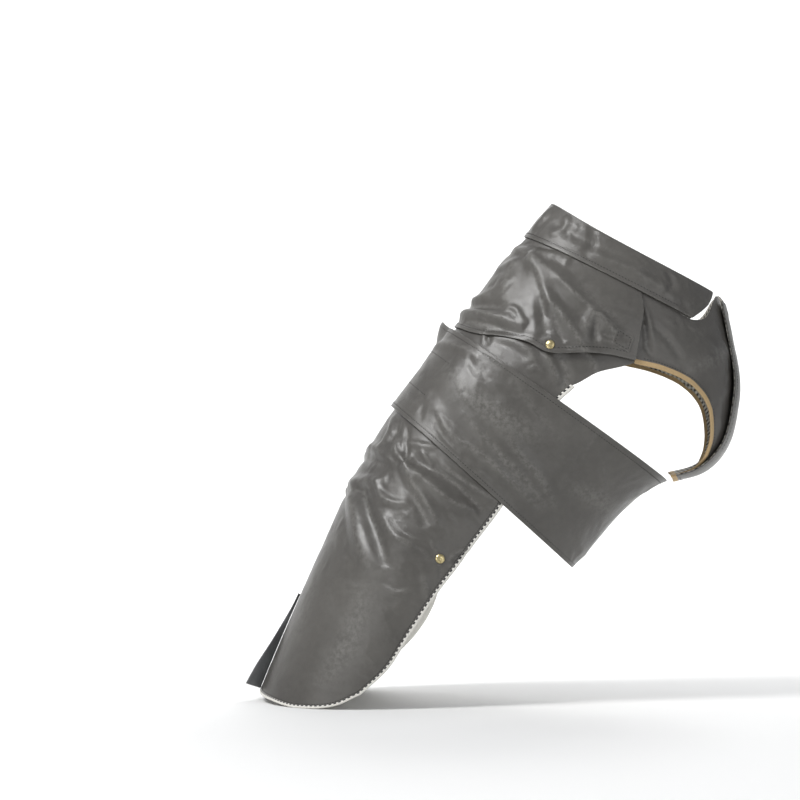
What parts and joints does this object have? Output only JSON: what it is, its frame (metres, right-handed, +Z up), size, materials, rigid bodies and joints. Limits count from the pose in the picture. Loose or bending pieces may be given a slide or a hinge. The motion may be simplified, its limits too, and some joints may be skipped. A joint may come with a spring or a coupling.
{
  "type": "dog raincoat",
  "caption": "Waxed dog raincoat with a fold-down collar, shoulder cape, belly wrap, tail vent and leg straps, shaped as worn by a sitting dog.",
  "frame": {"origin": "on the dog's withers, at the spine, under the cape, on the body form 0.3 mm inside the lining", "axes": "+X the way the dog faces, +Y the dog's left, +Z up, with the coat posed on a sitting dog"},
  "size_m": [0.6266, 0.3088, 0.6281],
  "materials": {
    "waxed_cloth": "semi-gloss coated cloth, dark warm grey",
    "check_lining": "matt woven cotton in a small black and cream check",
    "tan_binding": "matt tan twill binding",
    "touch_tape": "black hook and loop tape",
    "elastic": "ribbed off-white elastic webbing",
    "brass": "aged satin brass"
  },
  "bodies": {
    "coat": {"back_panel_right": "waxed_cloth", "back_panel_left": "waxed_cloth", "back_lining_right": "check_lining", "back_lining_left": "check_lining", "chest_panel_right": "waxed_cloth", "chest_lining_right": "check_lining", "chest_loop_tape": "touch_tape", "hem_binding_right": "check_lining", "hem_binding_left": "check_lining", "leg_hole_binding_right": "tan_binding", "cape_back": "waxed_cloth", "collar_fall": "waxed_cloth", "collar_stand": "waxed_cloth", "wrap_left": "waxed_cloth", "wrap_right": "waxed_cloth", "wrap_loop_tape": "touch_tape", "strap_patch_right": "elastic", "strap_patch_left": "elastic", "strap_tab_right": "elastic", "strap_tab_left": "elastic", "cape_stud_right_stud": "brass", "cape_stud_right_post": "brass", "cape_stud_left_stud": "brass", "cape_stud_left_post": "brass", "leg_stud_right_cap": "brass", "leg_stud_right_socket": "brass", "leg_stud_right_stud": "brass", "leg_stud_right_post": "brass", "leg_stud_left_cap": "brass", "leg_stud_left_socket": "brass", "leg_stud_left_stud": "brass", "leg_stud_left_post": "brass"},
    "chest_flap": {"chest_flap_left": "waxed_cloth", "chest_flap_lining": "check_lining", "chest_hook_tape": "touch_tape", "leg_hole_binding_left": "tan_binding"},
    "wrap_end": {"wrap_end_flap": "waxed_cloth", "wrap_hook_tape": "touch_tape"},
    "cape_right": {"cape_side_right": "waxed_cloth", "cape_tab_right": "waxed_cloth", "cape_stud_right_cap": "brass", "cape_stud_right_socket": "brass"},
    "cape_left": {"cape_side_left": "waxed_cloth", "cape_tab_left": "waxed_cloth", "cape_stud_left_cap": "brass", "cape_stud_left_socket": "brass"},
    "strap_right": {"leg_strap_right": "elastic"},
    "strap_left": {"leg_strap_left": "elastic"},
    "vent_flap": {"vent_flap_left": "waxed_cloth"}
  },
  "joints": [
    {"name": "chest_flap_open", "type": "hinge", "parent": "coat", "child": "chest_flap", "pos_m": [0.18679, 0.1004, -0.03504], "axis": [0.0153, -0.2368, 0.9714], "range_deg": [0, 55]},
    {"name": "wrap_end_peel", "type": "hinge", "parent": "coat", "child": "wrap_end", "pos_m": [-0.05135, -0.07727, -0.10527], "axis": [0.6263, 0.0152, 0.7794], "range_deg": [0, 88]},
    {"name": "cape_side_right_lift", "type": "hinge", "parent": "coat", "child": "cape_right", "pos_m": [0.13698, -0.07477, 0.03406], "axis": [-0.8568, 0.2736, 0.4372], "range_deg": [0, 32]},
    {"name": "cape_side_left_lift", "type": "hinge", "parent": "coat", "child": "cape_left", "pos_m": [0.13698, 0.07477, 0.03406], "axis": [0.8568, 0.2736, -0.4372], "range_deg": [0, 32]},
    {"name": "leg_strap_right_swing", "type": "hinge", "parent": "coat", "child": "strap_right", "pos_m": [-0.15123, -0.10106, -0.38821], "axis": [-0.8002, 0.3486, -0.488], "range_deg": [-18, 10]},
    {"name": "leg_strap_left_swing", "type": "hinge", "parent": "coat", "child": "strap_left", "pos_m": [-0.15123, 0.10106, -0.38821], "axis": [0.8002, 0.3486, 0.488], "range_deg": [-18, 10]},
    {"name": "vent_flap_swing", "type": "hinge", "parent": "coat", "child": "vent_flap", "pos_m": [-0.2548, 0.00054, -0.43388], "axis": [-0.3922, -0.0001, -0.9199], "range_deg": [-20, 40], "stiffness_Nm_per_rad": 0.05}
  ]
}
